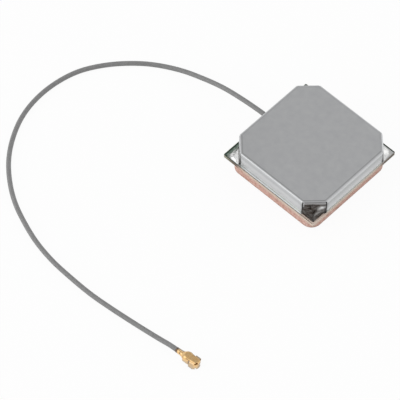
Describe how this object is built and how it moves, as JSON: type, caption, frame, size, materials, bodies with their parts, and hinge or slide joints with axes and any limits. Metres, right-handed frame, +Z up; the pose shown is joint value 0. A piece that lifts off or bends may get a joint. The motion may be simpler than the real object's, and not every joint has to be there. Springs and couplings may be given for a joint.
{
  "type": "car gps antenna module",
  "caption": "Bare square ceramic patch antenna with circuit board, folded metal shield can and a thin looped coaxial cable ending in a right-angle push-on plug.",
  "frame": {"origin": "middle of the square circuit board in plan, on the surface that the module lies on", "axes": "+Z up through the thickness, from the radiating face that lies down to the flat top of the shield can; the cable leaves the can towards -X"},
  "size_m": [0.0759, 0.0723, 0.0094],
  "materials": {
    "sintered_ceramic": "matte fired ceramic, pinkish tan",
    "fired_silver": "matte fired silver",
    "tape": "double-sided tape",
    "tinned_pin": "tinned",
    "solder": "bright, slightly uneven",
    "board": "green lacquer over glass laminate",
    "tinned_copper": "hot-tinned",
    "bare_copper": "dull copper",
    "tinplate": "satin tinplate, faintly mottled",
    "chip_case": "moulded",
    "filter_case": "ceramic with a metal lid",
    "capacitor_body": "matte",
    "resistor_body": "glazed",
    "inductor_body": "matte",
    "jacket": "smooth grey insulation, faintly glossy",
    "tinned_wire": "tinned copper wire",
    "insulation": "milky white",
    "gilded_sheet": "gold-plated sheet",
    "plug_plastic": "moulded"
  },
  "bodies": {
    "root": {"ceramic_patch": "sintered_ceramic", "patch_electrode": "fired_silver", "ground_electrode": "fired_silver", "adhesive_pad": "tape", "feed_pin": "tinned_pin", "feed_solder_patch": "solder", "feed_solder_board": "solder", "circuit_board": "board", "ground_track": "tinned_copper", "signal_tracks": "bare_copper", "shield_can": "tinplate", "corner_solder_1": "solder", "corner_solder_2": "solder", "corner_solder_3": "solder", "corner_solder_4": "solder", "first_amplifier": "chip_case", "second_amplifier": "chip_case", "band_filter": "filter_case", "chip_capacitors": "capacitor_body", "chip_resistors": "resistor_body", "chip_inductors": "inductor_body", "cable_jacket": "jacket", "cable_braid": "tinned_wire", "cable_dielectric": "insulation", "cable_core": "tinned_wire", "braid_solder": "solder", "core_solder": "solder", "plug_shell": "gilded_sheet", "plug_insulator": "plug_plastic", "plug_contact": "gilded_sheet", "plug_braid_end": "tinned_wire", "plug_dielectric_end": "insulation", "plug_core_end": "tinned_wire"}
  },
  "joints": []
}
